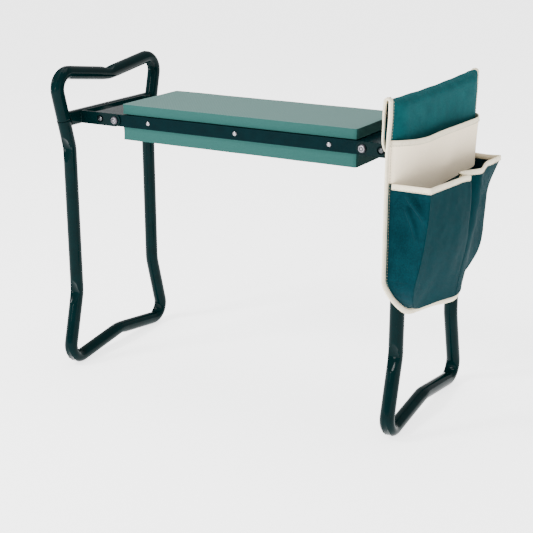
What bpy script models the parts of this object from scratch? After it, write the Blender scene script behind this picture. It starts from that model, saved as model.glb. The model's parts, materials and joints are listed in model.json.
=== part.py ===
"""Folding garden kneeler and seat with a saddle tool bag.

Two leg frames of bent steel tube turn on bolts at the ends of a two-rail seat frame.
A foam pad lies on each side of the seat frame, so it serves as a seat one way up and
as a kneeler the other. Four spring buttons lock the legs open.
X runs along the seat, Y from front to back, Z up. The feet stand on Z = 0.
"""

import math

import bpy
import bmesh
from mathutils import Vector

# ---------------------------------------------------------------- overall sizes
PIVOT_SPAN = 0.426  # between the pivots at the two ends of the seat
PIVOT_HEIGHT = 0.410  # pivots above the floor
GAP = 0.0003  # between pieces that touch
RUNNING_GAP = 0.0003  # round a shank or nose in its hole

# ---------------------------------------------------------------- seat frame and pads
RAIL_HEIGHT = 0.0188
RAIL_WIDTH = 0.0187
RAIL_WALL = 0.0016
RAIL_OUTER_Y = 0.0793  # outer face of a rail from the centre line
RAIL_PAST_PIVOT = 0.0405
DECK_THICKNESS = 0.0015
DECK_LIP = 0.012  # height of the deck's folded sides
DECK_LIP_SHORT = 0.018  # the folded sides stop this far inside the pivots
PAD_HALF_WIDTH = 0.0752
PAD_INSIDE_PIVOT = 0.0118  # pad ends lie this far inside the pivots
TOP_PAD_THICKNESS = 0.0164
BOTTOM_PAD_THICKNESS = 0.0208
PAD_CORNER = 0.0032
PAD_EDGE = 0.0009
RIVET_PITCH = 0.1556
RIVET_SHIFT = 0.0047  # the middle rivets sit a little right of centre
RIVET_HEAD_R = 0.0035
RIVET_SHANK_R = 0.0020

# ---------------------------------------------------------------- pivots and lock buttons
BOLT_SHANK_R = 0.0030
BOLT_HEAD_R = 0.0061
BOLT_HEAD_HEIGHT = 0.0034
NUT_ACROSS_FLATS = 0.0100
NUT_HEIGHT = 0.0048
BUTTON_PAST_PIVOT = 0.0285
BUTTON_NOSE_R = 0.0042
BUTTON_COLLAR_R = 0.0060
BUTTON_TAIL_R = 0.0020
BUTTON_PROUD = 0.0008
BRACKET_BUTTON_HOLE_R = 0.0062
SPRING_MEAN_R = 0.0034
SPRING_WIRE_R = 0.00045
SPRING_TURNS = 5

# ---------------------------------------------------------------- leg frames
LEG_OFFSET = 0.0715  # plane of a leg frame outboard of its pivots
TUBE_R = 0.01075
WAIST_HALF = 0.1064  # side tubes from the centre line at the waist
FLARE_HALF = 0.1372  # the same at the foot and handle corners
UPPER_BEND_DROP = 0.046  # upper bends below the pivots
LOWER_BEND_Z = 0.1232
HANDLE_RISE = 0.0764  # handle corners above the pivots
BAR_VEE = 0.0185  # how far the middle of a bar bends inward
CORNER_RADIUS = 0.024
WAIST_RADIUS = 0.070
VEE_RADIUS = 0.050
WAIST_DENT = 0.0032
CORNER_DENT = 0.0050
VEE_DENT = 0.0040
CORNER_FLAT = 0.13  # share by which a corner bend is squeezed flat
CORNER_SPREAD = 0.35  # share of that squeeze that widens the tube
SEAM_BELOW_PIVOT = 0.0005  # the handle tube joins the leg tube here
CROSS_THICKNESS = 0.0120
CROSS_HEIGHT = 0.0225
CROSS_ROUND = 0.0035
BRACKET_THICKNESS = 0.0020
BRACKET_HALF_HEIGHT = 0.0100
TUBE_SIDES = 14

# ---------------------------------------------------------------- tool bag
BAG_HALF_WIDTH = 0.1660
FLAP_HALF_WIDTH = 0.1500
BAG_DROP = 0.3160  # from the top of the saddle to the bottom edge
FLAP_DROP = 0.0800
FLAP_LIFT = 0.0085  # the middle of the flap clears the bracket by this much more
BAG_CORNER = 0.0700
FLAP_CORNER = 0.0250
PANEL_THICKNESS = 0.0030
POCKET_THICKNESS = 0.0020
BINDING_WIDTH = 0.0080
BINDING_THICKNESS = 0.0046
BINDING_CLEAR = 0.0013  # between a sheet's edge and the tape round it
SADDLE_LIFT = 0.0008  # between the bar's highest point and the cloth
SHEET_CLEAR = 0.0008  # between curved sheets that lie on each other
POCKET_EDGE_CLEAR = 0.0010  # between a pocket and the tape round the panel
BAG_CURL = 0.0100  # how far the panel's side edges curl inward
CURL_WIDTH = 0.0460
FOLD_START = 0.0025  # past the handle's corners the saddle starts to lie flatter
END_FOLD_R = 0.0046  # saddle's radius at its two ends
END_FOLD_RISE = 0.0090  # and how much higher its axis is there
BAG_BOW = 0.0270  # how far the loaded pocket pulls out the middle of the bottom edge
BOW_HEIGHT = 0.0950
MID_POCKET_TOP = 0.0525  # below the top of the saddle
MID_POCKET_HEIGHT = 0.0900
MID_POCKET_BULGE = 0.0125
MID_POCKET_SAG = 0.0120
POCKET_TOP = 0.1090  # below the top of the saddle
POCKET_DEPTH = 0.0500
POCKET_LEAST = 0.0045
POCKET_BULGE = 0.0140
POCKET_TAPER = 0.66  # how much shallower the pocket is at its back end
POCKET_DRAW = 0.0090  # the middle seam draws the mouth in
POCKET_SAG = 0.0200  # how much lower the pocket mouth hangs at the back

# ---------------------------------------------------------------- derived positions
PIVOT_X = PIVOT_SPAN / 2
LEG_X = PIVOT_X + LEG_OFFSET
RAIL_INNER_Y = RAIL_OUTER_Y - RAIL_WIDTH
RAIL_TOP = PIVOT_HEIGHT + RAIL_HEIGHT / 2
RAIL_BOTTOM = PIVOT_HEIGHT - RAIL_HEIGHT / 2
RAIL_END = PIVOT_X + RAIL_PAST_PIVOT
BRACKET_INNER_Y = RAIL_OUTER_Y + GAP
BRACKET_OUTER_Y = BRACKET_INNER_Y + BRACKET_THICKNESS
BRACKET_WEB_OUT = LEG_OFFSET - CROSS_THICKNESS / 2 - GAP  # from the pivot
BAG_TUBE_GAP = 0.0003 + GAP + TUBE_R * CORNER_FLAT * CORNER_SPREAD
DRAPE_R = TUBE_R + BAG_TUBE_GAP + PANEL_THICKNESS / 2
PANEL_FACE_X = LEG_X + DRAPE_R + PANEL_THICKNESS / 2
POCKET_INSET = BINDING_WIDTH + 2 * POCKET_EDGE_CLEAR
FLAP_ROWS = 4
SADDLE_ROWS = 8
PANEL_ROWS = 14
HANDLE_Z = PIVOT_HEIGHT + HANDLE_RISE
UPPER_BEND_Z = PIVOT_HEIGHT - UPPER_BEND_DROP
SEAM_Z = PIVOT_HEIGHT - SEAM_BELOW_PIVOT


def clear_scene():
    for thing in list(bpy.data.objects):
        bpy.data.objects.remove(thing, do_unlink=True)


def material(name, colour, roughness, metallic):
    mat = bpy.data.materials.new(name + "_material")
    mat.use_nodes = True
    shader = mat.node_tree.nodes["Principled BSDF"]
    shader.inputs["Base Color"].default_value = (*colour, 1.0)
    shader.inputs["Roughness"].default_value = roughness
    shader.inputs["Metallic"].default_value = metallic
    return mat


PAINT = ((0.004, 0.030, 0.028), 0.28, 0.0)
STEEL = ((0.62, 0.62, 0.62), 0.30, 1.0)
FOAM = ((0.075, 0.230, 0.190), 0.85, 0.0)
CANVAS = ((0.016, 0.110, 0.120), 0.90, 0.0)
CREAM = ((0.66, 0.61, 0.52), 0.90, 0.0)


def add_object(name, verts, faces, look, origin=(0.0, 0.0, 0.0)):
    """One closed body with its faces turned outward."""
    centre = Vector(origin)
    mesh = bpy.data.meshes.new(name)
    mesh.from_pydata([Vector(v) - centre for v in verts], [], faces)
    work = bmesh.new()
    work.from_mesh(mesh)
    bmesh.ops.recalc_face_normals(work, faces=work.faces)
    work.to_mesh(mesh)
    work.free()
    mesh.materials.append(material(name, *look))
    thing = bpy.data.objects.new(name, mesh)
    thing.location = centre
    bpy.context.scene.collection.objects.link(thing)
    return thing


def cut(thing, cutters):
    """Takes each cutter out of the object and removes the cutters."""
    for n, cutter in enumerate(cutters):
        cutter.hide_render = True
        cutter.display_type = "WIRE"
        step = thing.modifiers.new("cut_%d" % n, "BOOLEAN")
        step.operation = "DIFFERENCE"
        step.solver = "EXACT"
        step.object = cutter
    shape = thing.evaluated_get(bpy.context.evaluated_depsgraph_get())
    solid = bpy.data.meshes.new_from_object(shape)
    thing.modifiers.clear()
    thing.data = solid
    for cutter in cutters:
        bpy.data.objects.remove(cutter, do_unlink=True)
    return thing


def box(name, low, high, look=STEEL, origin=(0.0, 0.0, 0.0)):
    verts = [(x, y, z) for x in (low[0], high[0]) for y in (low[1], high[1]) for z in (low[2], high[2])]
    faces = [(0, 1, 3, 2), (4, 6, 7, 5), (0, 4, 5, 1), (2, 3, 7, 6), (0, 2, 6, 4), (1, 5, 7, 3)]
    return add_object(name, verts, faces, look, origin)


def loft(name, rings, look, origin=(0.0, 0.0, 0.0), closed=False):
    """Skin through rings of equal length, capped at both ends unless the run is closed."""
    count = len(rings[0])
    verts = [v for ring in rings for v in ring]
    faces = []
    last = len(rings) if closed else len(rings) - 1
    for i in range(last):
        a = i * count
        b = ((i + 1) % len(rings)) * count
        for k in range(count):
            m = (k + 1) % count
            faces.append((a + k, a + m, b + m, b + k))
    if not closed:
        faces.append(tuple(range(count)))
        faces.append(tuple(range(len(verts) - count, len(verts))))
    return add_object(name, verts, faces, look, origin)


def turned(name, profile, centre, side, look, sides=24, origin=None):
    """Revolves (radius, distance) pairs round an axis along Y. Distances grow toward side."""
    verts = []
    rings = []
    for radius, out in profile:
        y = centre[1] + side * out
        if radius < 1e-6:
            rings.append([len(verts)])
            verts.append((centre[0], y, centre[2]))
            continue
        rings.append(list(range(len(verts), len(verts) + sides)))
        for k in range(sides):
            a = 2 * math.pi * (k + 0.5) / sides
            verts.append((centre[0] + radius * math.cos(a), y, centre[2] + radius * math.sin(a)))
    faces = []
    for first, second in zip(rings, rings[1:]):
        for k in range(sides):
            m = (k + 1) % sides
            if len(first) == 1:
                faces.append((first[0], second[k], second[m]))
            elif len(second) == 1:
                faces.append((first[k], first[m], second[0]))
            else:
                faces.append((first[k], first[m], second[m], second[k]))
    return add_object(name, verts, faces, look, centre if origin is None else origin)


def drill(name, x, z, radius, y0, y1, sides=24):
    return turned(name, [(0, y0), (radius, y0), (radius, y1), (0, y1)], (x, 0.0, z), 1, STEEL, sides)


# ---------------------------------------------------------------- seat frame
def rivet_stations():
    return [RIVET_SHIFT + RIVET_PITCH * k for k in (-1, 0, 1)]


def build_rail(name, side):
    """Square steel tube, open at both ends, drilled for rivets, bolts and buttons."""
    y_out = side * RAIL_OUTER_Y
    y_in = side * RAIL_INNER_Y
    low = min(y_out, y_in)
    high = max(y_out, y_in)
    rail = box(name, (-RAIL_END, low, RAIL_BOTTOM), (RAIL_END, high, RAIL_TOP), PAINT)
    inside = box(
        "rail_hollow",
        (-RAIL_END - 0.01, low + RAIL_WALL, RAIL_BOTTOM + RAIL_WALL),
        (RAIL_END + 0.01, high - RAIL_WALL, RAIL_TOP - RAIL_WALL),
    )
    holes = [inside]
    for x in rivet_stations():
        holes.append(drill("rivet_hole", x, PIVOT_HEIGHT, RIVET_SHANK_R + RUNNING_GAP, low - 0.002, high + 0.002, 16))
    for x in (-PIVOT_X, PIVOT_X):
        holes.append(drill("bolt_hole", x, PIVOT_HEIGHT, BOLT_SHANK_R + RUNNING_GAP, low - 0.002, high + 0.002))
    wall = sorted((y_out + side * 0.002, y_out - side * (RAIL_WALL + 0.002)))
    for x in (-PIVOT_X - BUTTON_PAST_PIVOT, PIVOT_X + BUTTON_PAST_PIVOT):
        holes.append(drill("nose_hole", x, PIVOT_HEIGHT, BUTTON_NOSE_R + RUNNING_GAP, wall[0], wall[1]))
    return cut(rail, holes)


def build_deck():
    """Sheet steel deck between the rails, with folded sides that the rivets hold."""
    half = RAIL_INNER_Y - GAP
    lip_end = PIVOT_X - DECK_LIP_SHORT
    deck = box("deck_pan", (-RAIL_END, -half, RAIL_TOP - DECK_LIP), (RAIL_END, half, RAIL_TOP), PAINT)
    under = RAIL_TOP - DECK_THICKNESS
    holes = [
        box(
            "deck_hollow",
            (-RAIL_END - 0.01, -half + DECK_THICKNESS, RAIL_TOP - DECK_LIP - 0.01),
            (RAIL_END + 0.01, half - DECK_THICKNESS, under),
        )
    ]
    for s in (-1, 1):
        ends = sorted((s * lip_end, s * (RAIL_END + 0.012)))
        holes.append(
            box("lip_end", (ends[0], -half - 0.01, RAIL_TOP - DECK_LIP - 0.012), (ends[1], half + 0.01, under))
        )
    for x in rivet_stations():
        holes.append(drill("rivet_hole", x, PIVOT_HEIGHT, RIVET_SHANK_R + RUNNING_GAP, -half - 0.01, half + 0.01, 16))
    return cut(deck, holes)


def ease(share):
    """Smooth step from 0 to 1."""
    share = max(0.0, min(1.0, share))
    return share * share * (3 - 2 * share)


def rounded_outline(half_x, half_y, radius, steps):
    """Points of a rectangle with round corners, anticlockwise."""
    points = []
    for cx, cy, start in ((1, 1, 0), (-1, 1, 90), (-1, -1, 180), (1, -1, 270)):
        for k in range(steps + 1):
            a = math.radians(start + 90.0 * k / steps)
            x = cx * (half_x - radius) + radius * math.cos(a)
            y = cy * (half_y - radius) + radius * math.sin(a)
            points.append((x, y))
    return points


def build_pad(name, low, high):
    """Foam slab with round corners and softened edges."""
    half_x = PIVOT_X - PAD_INSIDE_PIVOT
    rings = []
    for inset, z in ((PAD_EDGE, low), (0.0, low + PAD_EDGE), (0.0, high - PAD_EDGE), (PAD_EDGE, high)):
        outline = rounded_outline(half_x - inset, PAD_HALF_WIDTH - inset, PAD_CORNER - inset, 4)
        rings.append([(x, y, z) for x, y in outline])
    return loft(name, rings, FOAM)


def build_rivet(name, x, side):
    """Dome head outside the rail, shank through both walls and the deck's folded side."""
    tail = RAIL_OUTER_Y - (RAIL_INNER_Y - 2 * GAP - DECK_THICKNESS)
    profile = [
        (0.0, -tail - 0.0012),
        (RIVET_SHANK_R + 0.0009, -tail - 0.0012),
        (RIVET_SHANK_R + 0.0009, -tail - GAP),
        (RIVET_SHANK_R, -tail - GAP),
        (RIVET_SHANK_R, GAP),
        (RIVET_HEAD_R, GAP),
        (RIVET_HEAD_R * 0.92, GAP + 0.0009),
        (RIVET_HEAD_R * 0.62, GAP + 0.0017),
        (0.0, GAP + 0.0021),
    ]
    return turned(name, profile, (x, side * RAIL_OUTER_Y, PIVOT_HEIGHT), side, STEEL, 16)


# ---------------------------------------------------------------- pivots and buttons
def build_bolt(name, x, side):
    """Pan-head bolt through the bracket flange and both walls of the rail."""
    grip = BRACKET_OUTER_Y - RAIL_INNER_Y + NUT_HEIGHT + 0.0014
    profile = [
        (0.0, -grip),
        (BOLT_SHANK_R - 0.0005, -grip),
        (BOLT_SHANK_R, -grip + 0.0006),
        (BOLT_SHANK_R, GAP),
        (BOLT_HEAD_R, GAP),
        (BOLT_HEAD_R, GAP + BOLT_HEAD_HEIGHT * 0.45),
        (BOLT_HEAD_R * 0.86, GAP + BOLT_HEAD_HEIGHT * 0.80),
        (BOLT_HEAD_R * 0.55, GAP + BOLT_HEAD_HEIGHT),
        (0.0, GAP + BOLT_HEAD_HEIGHT),
    ]
    return turned(name, profile, (x, side * BRACKET_OUTER_Y, PIVOT_HEIGHT), side, STEEL)


def build_nut(name, x, side):
    """Hexagon nut on the inner face of the rail."""
    sides = 24
    near = RAIL_INNER_Y - GAP
    rings = []
    for radius, y in ((0, near), (1, near), (1, near - NUT_HEIGHT), (0, near - NUT_HEIGHT)):
        ring = []
        for k in range(sides):
            a = 2 * math.pi * (k + 0.5) / sides
            turn = (a + math.pi / 6) % (math.pi / 3) - math.pi / 6
            r = NUT_ACROSS_FLATS / 2 / math.cos(turn) if radius else BOLT_SHANK_R + RUNNING_GAP
            ring.append((x + r * math.cos(a), side * y, PIVOT_HEIGHT + r * math.sin(a)))
        rings.append(ring)
    return loft(name, rings, STEEL, (x, side * near, PIVOT_HEIGHT), closed=True)


def button_places():
    """Distances from the centre line of the button's tail, collar and nose."""
    inside = RAIL_OUTER_Y - RAIL_WALL - GAP
    collar = inside - 0.0017
    tail = collar - 0.0040
    tip = BRACKET_OUTER_Y + BUTTON_PROUD
    return tail, collar, inside, tip


def build_button(name, x, side):
    """Spring button: its nose locks the bracket flange to the rail."""
    tail, collar, inside, tip = button_places()
    profile = [
        (0.0, tail),
        (BUTTON_TAIL_R, tail),
        (BUTTON_TAIL_R, collar),
        (BUTTON_COLLAR_R, collar),
        (BUTTON_COLLAR_R, inside),
        (BUTTON_NOSE_R, inside),
        (BUTTON_NOSE_R, tip - 0.0018),
        (BUTTON_NOSE_R * 0.86, tip - 0.0008),
        (BUTTON_NOSE_R * 0.50, tip - 0.0002),
        (0.0, tip),
    ]
    return turned(name, profile, (x, 0.0, PIVOT_HEIGHT), side, STEEL, 20, (x, side * inside, PIVOT_HEIGHT))


def build_spring(name, x, side):
    """Coil spring between the button's collar and the rail's inner wall."""
    collar = button_places()[1]
    start = RAIL_INNER_Y + RAIL_WALL + GAP + SPRING_WIRE_R
    end = collar - GAP - SPRING_WIRE_R
    per_turn = 8
    total = SPRING_TURNS * per_turn
    rings = []
    for i in range(total + 1):
        share = i / total
        a = 2 * math.pi * SPRING_TURNS * share
        y = start + (end - start) * share
        out = Vector((math.cos(a), 0.0, math.sin(a)))
        middle = Vector((x, side * y, PIVOT_HEIGHT)) + out * SPRING_MEAN_R
        ring = []
        for k in range(5):
            b = 2 * math.pi * k / 5
            ring.append(middle + out * (SPRING_WIRE_R * math.cos(b)) + Vector((0, SPRING_WIRE_R * math.sin(b), 0)))
        rings.append(ring)
    return loft(name, rings, STEEL, (x, side * start, PIVOT_HEIGHT))


# ---------------------------------------------------------------- bent tubes
class BentPath:
    """Straight runs joined by arcs, in the plane of a leg frame. Points are (y, z)."""

    def __init__(self, points, radii):
        self.runs = []
        self.bends = []
        here = Vector(points[0])
        travelled = 0.0
        for i in range(1, len(points) - 1):
            a = (Vector(points[i]) - Vector(points[i - 1])).normalized()
            b = (Vector(points[i + 1]) - Vector(points[i])).normalized()
            turn = math.atan2(a.x * b.y - a.y * b.x, a.dot(b))
            setback = radii[i - 1] * math.tan(abs(turn) / 2)
            start = Vector(points[i]) - a * setback
            straight = (start - here).length
            self.runs.append(("line", travelled, straight, here.copy(), a.copy(), 0.0))
            travelled += straight
            arc = radii[i - 1] * abs(turn)
            self.runs.append(("arc", travelled, arc, start.copy(), a.copy(), math.copysign(radii[i - 1], turn)))
            self.bends.append((travelled + arc / 2, arc / 2, math.copysign(1.0, turn)))
            travelled += arc
            here = Vector(points[i]) + b * setback
        a = (Vector(points[-1]) - here).normalized()
        straight = (Vector(points[-1]) - here).length
        self.runs.append(("line", travelled, straight, here.copy(), a.copy(), 0.0))
        self.length = travelled + straight

    def at(self, s):
        """Point and direction at a distance along the path."""
        for kind, start, length, p, d, r in self.runs:
            if s <= start + length + 1e-9 or start + length >= self.length - 1e-9:
                break
        t = s - start
        if kind == "line":
            return p + d * t, d
        angle = t / r
        side = Vector((-d.y, d.x))
        centre = p + side * r
        point = centre - side * (r * math.cos(angle)) + d * (r * math.sin(angle))
        return point, d * math.cos(angle) + side * math.sin(angle)


def press_marks(path, dents, flats):
    """Where the press squeezed the tube: place, half length, side, dent depth, flattening."""
    marks = []
    for (middle, half, side), dent, flat in zip(path.bends, dents, flats):
        marks.append((middle, half + 0.014, side, dent, flat))
    return marks


def tube_rings(path, marks, x, sides):
    """Rings along a bent tube, pushed in and squeezed at the press marks."""
    stations = {0.0, path.length}
    for middle, half, _, _, _ in marks:
        for k in range(-5, 6):
            stations.add(middle + half * k / 5)
    rings = []
    previous = None
    for s in sorted(stations):
        if s < 0 or s > path.length or (previous is not None and s - previous < 0.0006):
            continue
        previous = s
        point, along = path.at(s)
        inside = Vector((-along.y, along.x))
        ring = []
        for k in range(sides):
            a = 2 * math.pi * k / sides
            inward = TUBE_R * math.cos(a)
            sideways = TUBE_R * math.sin(a)
            for middle, half, side, dent, flat in marks:
                near = ease(1 - abs(s - middle) / half)
                inward *= 1 - flat * near
                sideways *= 1 + CORNER_SPREAD * flat * near
                facing = side * math.cos(a)
                if facing > 0.1:
                    inward -= side * dent * near * (facing - 0.1) / 0.9
            place = point + inside * inward
            ring.append((x + sideways, place.x, place.y))
        rings.append(ring)
    return rings


def seam_half():
    """Side tube from the centre line at the seam between leg tube and handle tube."""
    share = (SEAM_Z - UPPER_BEND_Z) / (HANDLE_Z - UPPER_BEND_Z)
    return WAIST_HALF + (FLARE_HALF - WAIST_HALF) * share


def leg_path(foot_z):
    """Leg tube from the front seam round the foot to the back seam."""
    points = [
        (-seam_half(), SEAM_Z - GAP / 2),
        (-WAIST_HALF, UPPER_BEND_Z),
        (-WAIST_HALF, LOWER_BEND_Z),
        (-FLARE_HALF, foot_z),
        (0.0, foot_z + BAR_VEE),
        (FLARE_HALF, foot_z),
        (WAIST_HALF, LOWER_BEND_Z),
        (WAIST_HALF, UPPER_BEND_Z),
        (seam_half(), SEAM_Z - GAP / 2),
    ]
    radii = [WAIST_RADIUS, WAIST_RADIUS, CORNER_RADIUS, VEE_RADIUS, CORNER_RADIUS, WAIST_RADIUS, WAIST_RADIUS]
    dents = [WAIST_DENT, WAIST_DENT, CORNER_DENT, VEE_DENT, CORNER_DENT, WAIST_DENT, WAIST_DENT]
    flats = [0.03, 0.03, CORNER_FLAT, 0.05, CORNER_FLAT, 0.03, 0.03]
    path = BentPath(points, radii)
    return path, press_marks(path, dents, flats)


def handle_path():
    """Handle tube from the front seam over the handle to the back seam."""
    points = [
        (-seam_half(), SEAM_Z + GAP / 2),
        (-FLARE_HALF, HANDLE_Z),
        (0.0, HANDLE_Z - BAR_VEE),
        (FLARE_HALF, HANDLE_Z),
        (seam_half(), SEAM_Z + GAP / 2),
    ]
    path = BentPath(points, [CORNER_RADIUS, VEE_RADIUS, CORNER_RADIUS])
    return path, press_marks(path, [CORNER_DENT, VEE_DENT, CORNER_DENT], [CORNER_FLAT, 0.05, CORNER_FLAT])


def foot_height():
    """Height of the foot corners' bend points that stands the tube on the floor."""
    path, marks = leg_path(0.0)
    rings = tube_rings(path, marks, 0.0, TUBE_SIDES)
    return -min(v[2] for ring in rings for v in ring)


def build_tubes(side, label):
    x = side * LEG_X
    origin = (side * PIVOT_X, 0.0, PIVOT_HEIGHT)
    path, marks = leg_path(foot_height())
    loft(label + "_leg_tube", tube_rings(path, marks, x, TUBE_SIDES), PAINT, origin)
    path, marks = handle_path()
    loft(label + "_handle_tube", tube_rings(path, marks, x, TUBE_SIDES), PAINT, origin)


def tube_side_at(z):
    """Centre of the flared side tube at a height, from the centre line."""
    share = (z - UPPER_BEND_Z) / (HANDLE_Z - UPPER_BEND_Z)
    return WAIST_HALF + (FLARE_HALF - WAIST_HALF) * share


def build_cross_member(side, label):
    """Bar welded between the side tubes, its ends cut to their slope."""
    slope = (FLARE_HALF - WAIST_HALF) / (HANDLE_Z - UPPER_BEND_Z)
    lean = math.sqrt(1 + slope * slope)
    section = rounded_outline(CROSS_THICKNESS / 2, CROSS_HEIGHT / 2, CROSS_ROUND, 3)
    front = []
    back = []
    for dx, dz in section:
        z = PIVOT_HEIGHT + dz
        end = tube_side_at(z) - (TUBE_R + GAP) * lean
        front.append((side * LEG_X + dx, -end, z))
        back.append((side * LEG_X + dx, end, z))
    return loft(label + "_cross_member", [front, back], PAINT, (side * PIVOT_X, 0.0, PIVOT_HEIGHT))


def build_bracket(side, label):
    """Pressed U bracket: a web on the cross member and two flanges outside the rails."""
    h = BRACKET_HALF_HEIGHT
    outline = [(BRACKET_WEB_OUT, h), (BRACKET_WEB_OUT, -h)]
    for k in range(13):
        a = math.radians(-90 - 15 * k)
        outline.append((h * math.cos(a), h * math.sin(a)))
    rings = []
    for y in (-BRACKET_OUTER_Y, BRACKET_OUTER_Y):
        rings.append([(side * (PIVOT_X + dx), y, PIVOT_HEIGHT + dz) for dx, dz in outline])
    bracket = loft(label + "_bracket", rings, PAINT, (side * PIVOT_X, 0.0, PIVOT_HEIGHT))
    web = side * (PIVOT_X + BRACKET_WEB_OUT - BRACKET_THICKNESS)
    xs = sorted((web, side * (PIVOT_X - h - 0.01)))
    holes = [
        box("bracket_hollow", (xs[0], -BRACKET_INNER_Y, PIVOT_HEIGHT - 2 * h), (xs[1], BRACKET_INNER_Y, PIVOT_HEIGHT + 2 * h)),
        drill("bolt_hole", side * PIVOT_X, PIVOT_HEIGHT, BOLT_SHANK_R + RUNNING_GAP, -BRACKET_OUTER_Y - 0.01, BRACKET_OUTER_Y + 0.01),
        drill(
            "button_hole",
            side * (PIVOT_X + BUTTON_PAST_PIVOT),
            PIVOT_HEIGHT,
            BRACKET_BUTTON_HOLE_R,
            -BRACKET_OUTER_Y - 0.01,
            BRACKET_OUTER_Y + 0.01,
        ),
    ]
    return cut(bracket, holes)


# ---------------------------------------------------------------- tool bag
def saddle_centre():
    """Height of the saddle's axis, with the cloth lying on the highest part of the bar."""
    path, marks = handle_path()
    rings = tube_rings(path, marks, 0.0, TUBE_SIDES)
    bar_top = max(v[2] for ring in rings for v in ring)
    return bar_top + SADDLE_LIFT - (DRAPE_R - PANEL_THICKNESS / 2)


def curl(y):
    """Inward curl of the outer panel toward its side edges."""
    share = max(0.0, abs(y) - (BAG_HALF_WIDTH - CURL_WIDTH)) / CURL_WIDTH
    return -BAG_CURL * share * share


def bow(y, z, bottom):
    """Outward bow of the panel's lower middle, where the pocket's load pulls it."""
    middle = max(0.0, 1 - (y / (BAG_HALF_WIDTH - BAG_CORNER)) ** 2)
    down = max(0.0, min(1.0, (bottom + BOW_HEIGHT - z) / BOW_HEIGHT))
    return BAG_BOW * middle * down * down


def stations():
    """Lines across the bag as (side, share of the straight edge, angle round the corner)."""
    half = [(flat, 0.0) for flat in (0.25, 0.5, 0.75, 0.94, 1.0)]
    half += [(1.0, math.radians(22.5 * k)) for k in range(1, 5)]
    return [(-1, *h) for h in reversed(half)] + [(1, 0.0, 0.0)] + [(1, *h) for h in half]


def across(station, half, corner, inset):
    side, flat, turn = station
    return side * ((half - corner) * flat + (corner - inset) * math.sin(turn))


def lower_edge(station, corner, bottom, inset):
    return bottom + corner - (corner - inset) * math.cos(station[2])


class Drape:
    """Mid-surface of the panel: flap inside the leg frame, saddle over the bar, panel outside."""

    def __init__(self):
        self.centre = saddle_centre()
        self.top = self.centre + DRAPE_R + PANEL_THICKNESS / 2
        self.bottom = self.top - BAG_DROP
        self.flap_bottom = self.top - FLAP_DROP

    def flap_edge(self, station, inset):
        low = lower_edge(station, FLAP_CORNER, self.flap_bottom, inset)
        return low + (FLAP_LIFT if station[1] <= 0.75 else 0.0)

    def fold(self, y):
        """Radius of the saddle and height of its axis. Past the handle the cloth lies flatter."""
        start = FLARE_HALF + FOLD_START
        share = ease((abs(y) - start) / (BAG_HALF_WIDTH - start))
        return DRAPE_R + (END_FOLD_R - DRAPE_R) * share, self.centre + END_FOLD_RISE * share

    def line(self, station, inset):
        """Points and normals down one line of the cloth, from the flap's edge to the panel's."""
        wide = across(station, BAG_HALF_WIDTH, BAG_CORNER, inset)
        narrow = across(station, FLAP_HALF_WIDTH, FLAP_CORNER, inset)
        low = self.flap_edge(station, inset)
        radius, axis = self.fold(wide)
        face = LEG_X + DRAPE_R + curl(wide)
        result = []
        for k in range(FLAP_ROWS):
            t = k / FLAP_ROWS
            x = LEG_X - DRAPE_R + (face - 2 * radius - LEG_X + DRAPE_R) * t
            result.append((Vector((x, narrow + (wide - narrow) * t, low + (axis - low) * t)), Vector((-1, 0, 0))))
        for k in range(SADDLE_ROWS + 1):
            a = math.pi * (1 - k / SADDLE_ROWS)
            out = Vector((math.cos(a), 0, math.sin(a)))
            result.append((Vector((face - radius, wide, axis)) + out * radius, out))
        end = lower_edge(station, BAG_CORNER, self.bottom, inset)
        for k in range(1, PANEL_ROWS + 1):
            z = axis + (end - axis) * k / PANEL_ROWS
            result.append((Vector((face + bow(wide, z, self.bottom), wide, z)), Vector((1, 0, 0))))
        return result


def sheet(name, lines, thickness, look, origin):
    """Closed solid of even thickness through a grid of (point, normal)."""
    rows = len(lines)
    cols = len(lines[0])
    verts = []
    for side in (0.5, -0.5):
        for line in lines:
            verts.extend(p + n * (thickness * side) for p, n in line)
    back = rows * cols
    faces = []
    for i in range(rows - 1):
        for k in range(cols - 1):
            a = i * cols + k
            faces.append((a, a + 1, a + cols + 1, a + cols))
            faces.append((back + a, back + a + cols, back + a + cols + 1, back + a + 1))
    rim = [k for k in range(cols)]
    rim += [i * cols + cols - 1 for i in range(1, rows)]
    rim += [(rows - 1) * cols + k for k in range(cols - 2, -1, -1)]
    rim += [i * cols for i in range(rows - 2, 0, -1)]
    for a, b in zip(rim, rim[1:] + rim[:1]):
        faces.append((a, b, back + b, back + a))
    return add_object(name, verts, faces, look, origin)


def band(name, spine, height, thickness, look, origin, closed=False):
    """Flat tape along a run of (point, normal, up) with a rectangular section."""
    rings = []
    for point, normal, up in spine:
        n = normal * (thickness / 2)
        u = up * (height / 2)
        rings.append([point + n + u, point + n - u, point - n - u, point - n + u])
    return loft(name, rings, look, origin, closed)


def spaced(count):
    """Values from -1 to 1, closer together toward the ends."""
    return [math.sin(math.pi / 2 * (2 * k / (count - 1) - 1)) for k in range(count)]


def build_bag_panel(drape, origin):
    lines = [drape.line(where, BINDING_WIDTH + BINDING_CLEAR) for where in stations()]
    return sheet("bag_panel", lines, PANEL_THICKNESS, CANVAS, origin)


def panel_outline(drape, inset):
    """Closed run round the panel: flap edge, one side, bottom edge, other side."""
    lines = [drape.line(where, inset) for where in stations()]
    flap = [line[0] for line in lines]
    bottom = [line[-1] for line in lines]
    return flap + lines[-1][1:] + bottom[-2::-1] + lines[0][-2:0:-1]


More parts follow.
